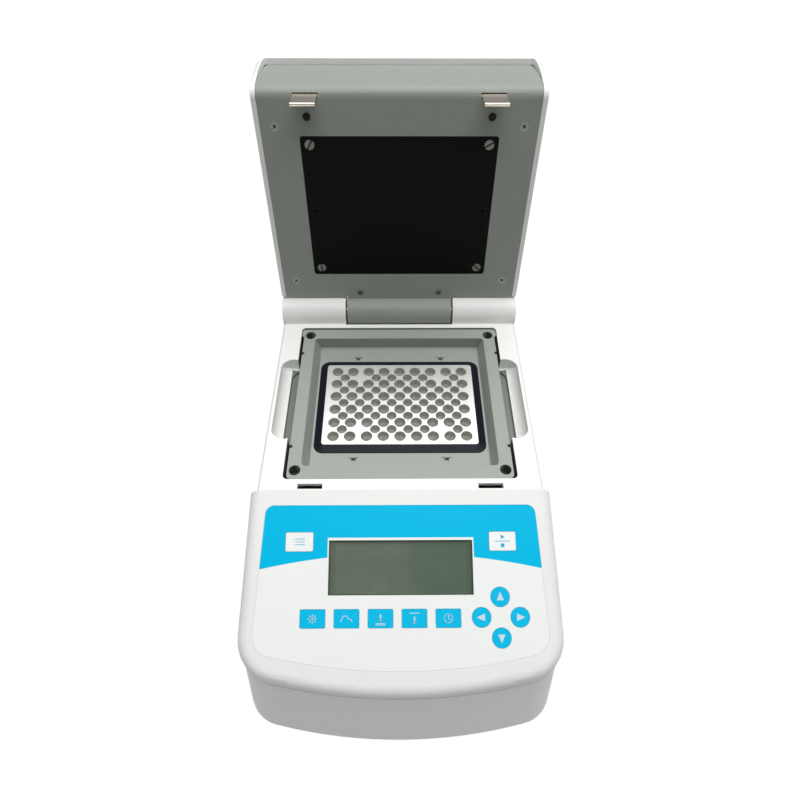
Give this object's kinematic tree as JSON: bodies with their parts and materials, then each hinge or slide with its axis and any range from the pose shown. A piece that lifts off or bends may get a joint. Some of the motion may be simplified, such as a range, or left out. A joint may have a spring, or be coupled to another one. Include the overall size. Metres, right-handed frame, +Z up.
{
  "type": "dry block heater",
  "caption": "Bench dry block heater: bored alloy tube block in a grey frame, hinged heated lid with latch hooks, sloped keypad with display, vented base.",
  "frame": {"origin": "on the table, under the middle of the overall width and depth with the lid open", "axes": "+X to the user's right, +Y to the rear, +Z up"},
  "size_m": [0.201, 0.3414, 0.2757],
  "materials": {
    "white_plastic": "satin moulded",
    "grey_plastic": "fine texture",
    "frame_plastic": "satin",
    "overlay": "printed film, cyan and white",
    "white_key": "printed film",
    "cyan_key": "printed film",
    "display_glass": "clear",
    "display": "grey-green liquid crystal",
    "board": "solder mask",
    "black_plastic": "moulded",
    "red_plastic": "moulded",
    "block_alloy": "clear anodised, bead blasted",
    "plate_alloy": "black anodised",
    "steel": "zinc plated",
    "dark_steel": "blackened",
    "nickel": "nickel plated",
    "brass": "plain",
    "seal_rubber": "black silicone",
    "foot_rubber": "black",
    "foam": "insulating foam",
    "heater_mat": "silicone heater",
    "pad_rubber": "silicone",
    "carrier_plastic": "moulded",
    "bush_plastic": "acetal"
  },
  "bodies": {
    "body": {"base_shell": "white_plastic", "top_cover": "white_plastic", "feet": "foot_rubber", "base_screws": "steel", "keypad_overlay": "overlay", "display_window": "display_glass", "display_module": "display", "control_board": "board", "tact_switches": "black_plastic", "board_screws": "steel", "well_block": "block_alloy", "block_screws": "steel", "block_seal": "seal_rubber", "well_frame": "frame_plastic", "frame_screws": "dark_steel", "block_heater": "heater_mat", "block_insulation": "foam", "block_carrier": "carrier_plastic", "block_probe": "steel", "thermal_cutout": "black_plastic", "power_board": "board", "power_board_screws": "steel", "mains_inlet": "black_plastic", "inlet_pins": "brass", "fuse_drawer": "black_plastic", "inlet_screws": "steel", "switch_housing": "black_plastic", "latch_catches": "steel", "hinge_shaft": "steel"},
    "lid": {"lid_shell": "white_plastic", "lid_liner": "grey_plastic", "hot_plate": "plate_alloy", "plate_screws": "steel", "plate_pads": "pad_rubber", "lid_heater": "heater_mat", "lid_insulation": "foam", "latch_hooks": "nickel", "liner_screws": "dark_steel", "lid_bumpers": "foot_rubber", "hinge_bushes": "bush_plastic"},
    "rocker": {"power_rocker": "red_plastic"},
    "option_button": {"option_key": "white_key"},
    "start_stop_button": {"start_stop_key": "white_key"},
    "mode_button": {"mode_key": "cyan_key"},
    "program_button": {"program_key": "cyan_key"},
    "block_temp_button": {"block_temp_key": "cyan_key"},
    "lid_temp_button": {"lid_temp_key": "cyan_key"},
    "time_button": {"time_key": "cyan_key"},
    "up_button": {"up_key": "cyan_key"},
    "left_button": {"left_key": "cyan_key"},
    "right_button": {"right_key": "cyan_key"},
    "down_button": {"down_key": "cyan_key"}
  },
  "joints": [
    {"name": "lid_hinge", "type": "hinge", "parent": "body", "child": "lid", "pos_m": [0, 0.11066, 0.1135], "axis": [1, 0, 0], "range_deg": [0, 99.8]},
    {"name": "power_switch", "type": "hinge", "parent": "body", "child": "rocker", "pos_m": [-0.005, 0.12276, 0.03], "axis": [1, 0, 0], "range_deg": [-18, 0]},
    {"name": "option_press", "type": "slide", "parent": "body", "child": "option_button", "axis": [0, 0.4067, -0.9136], "range_m": [0, 0.0004], "stiffness_N_per_m": 400},
    {"name": "start_stop_press", "type": "slide", "parent": "body", "child": "start_stop_button", "axis": [0, 0.4067, -0.9136], "range_m": [0, 0.0004], "stiffness_N_per_m": 400},
    {"name": "mode_press", "type": "slide", "parent": "body", "child": "mode_button", "axis": [0, 0.4067, -0.9136], "range_m": [0, 0.0004], "stiffness_N_per_m": 400},
    {"name": "program_press", "type": "slide", "parent": "body", "child": "program_button", "axis": [0, 0.4067, -0.9136], "range_m": [0, 0.0004], "stiffness_N_per_m": 400},
    {"name": "block_temp_press", "type": "slide", "parent": "body", "child": "block_temp_button", "axis": [0, 0.4067, -0.9136], "range_m": [0, 0.0004], "stiffness_N_per_m": 400},
    {"name": "lid_temp_press", "type": "slide", "parent": "body", "child": "lid_temp_button", "axis": [0, 0.4067, -0.9136], "range_m": [0, 0.0004], "stiffness_N_per_m": 400},
    {"name": "time_press", "type": "slide", "parent": "body", "child": "time_button", "axis": [0, 0.4067, -0.9136], "range_m": [0, 0.0004], "stiffness_N_per_m": 400},
    {"name": "up_press", "type": "slide", "parent": "body", "child": "up_button", "axis": [0, 0.4067, -0.9136], "range_m": [0, 0.0004], "stiffness_N_per_m": 400},
    {"name": "left_press", "type": "slide", "parent": "body", "child": "left_button", "axis": [0, 0.4067, -0.9136], "range_m": [0, 0.0004], "stiffness_N_per_m": 400},
    {"name": "right_press", "type": "slide", "parent": "body", "child": "right_button", "axis": [0, 0.4067, -0.9136], "range_m": [0, 0.0004], "stiffness_N_per_m": 400},
    {"name": "down_press", "type": "slide", "parent": "body", "child": "down_button", "axis": [0, 0.4067, -0.9136], "range_m": [0, 0.0004], "stiffness_N_per_m": 400}
  ]
}
